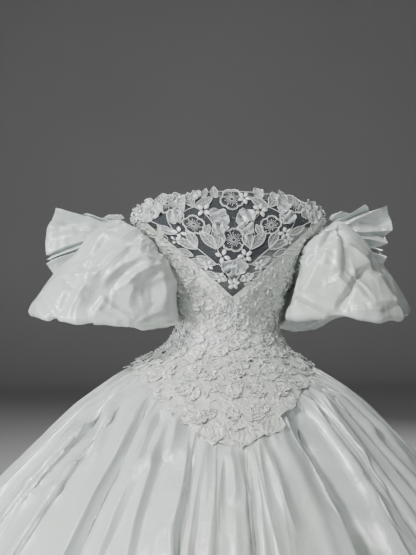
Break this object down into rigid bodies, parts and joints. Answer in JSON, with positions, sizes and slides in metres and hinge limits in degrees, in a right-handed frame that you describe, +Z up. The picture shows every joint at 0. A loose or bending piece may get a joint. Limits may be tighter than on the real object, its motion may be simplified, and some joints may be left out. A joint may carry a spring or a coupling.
{
  "type": "wedding dress",
  "caption": "Off-the-shoulder ball gown in ivory taffeta, with a fitted lace bodice, sheer yoke, puffed sleeves with pleated fans and a wide pleated skirt.",
  "frame": {"origin": "centre of the natural waist, where the wearer's waist holds the gown up", "axes": "+Z up along the wearer's back, -Y the way the gown faces, +X towards the wearer's left"},
  "size_m": [1.703, 1.7312, 1.3825],
  "materials": {
    "ivory_taffeta": "soft sheen",
    "ivory_lace": "matt",
    "illusion_net": "matt",
    "ivory_satin": "satin"
  },
  "bodies": {
    "root": {"bodice_back_left": "ivory_lace", "bodice_back_right": "ivory_lace", "bodice_front": "ivory_lace", "bodice_side_left": "ivory_lace", "bodice_side_right": "ivory_lace", "bodice_underarm_left": "ivory_lace", "bodice_underarm_right": "ivory_lace", "button_1": "ivory_satin", "button_2": "ivory_satin", "button_3": "ivory_satin", "button_4": "ivory_satin", "button_5": "ivory_satin", "button_6": "ivory_satin", "button_7": "ivory_satin", "button_8": "ivory_satin", "petal_basque_1": "ivory_satin", "petal_basque_10": "ivory_satin", "petal_basque_11": "ivory_satin", "petal_basque_12": "ivory_satin", "petal_basque_13": "ivory_satin", "petal_basque_14": "ivory_satin", "petal_basque_15": "ivory_satin", "petal_basque_16": "ivory_satin", "petal_basque_17": "ivory_satin", "petal_basque_18": "ivory_satin", "petal_basque_2": "ivory_satin", "petal_basque_3": "ivory_satin", "petal_basque_4": "ivory_satin", "petal_basque_5": "ivory_satin", "petal_basque_6": "ivory_satin", "petal_basque_7": "ivory_satin", "petal_basque_8": "ivory_satin", "petal_basque_9": "ivory_satin", "petal_bust_1": "ivory_satin", "petal_bust_2": "ivory_satin", "petal_waist_1": "ivory_satin", "petal_waist_2": "ivory_satin", "shoulder_band_left": "ivory_lace", "shoulder_band_right": "ivory_lace", "skirt_back_left": "ivory_taffeta", "skirt_back_right": "ivory_taffeta", "skirt_front": "ivory_taffeta", "skirt_side_back_left": "ivory_taffeta", "skirt_side_back_right": "ivory_taffeta", "skirt_side_front_left": "ivory_taffeta", "skirt_side_front_right": "ivory_taffeta", "sleeve_fan_left": "ivory_taffeta", "sleeve_fan_right": "ivory_taffeta", "sleeve_puff_back_left": "ivory_taffeta", "sleeve_puff_back_right": "ivory_taffeta", "sleeve_puff_front_left": "ivory_taffeta", "sleeve_puff_front_right": "ivory_taffeta", "yoke_back_left": "illusion_net", "yoke_back_right": "illusion_net", "yoke_front": "illusion_net"}
  },
  "joints": []
}
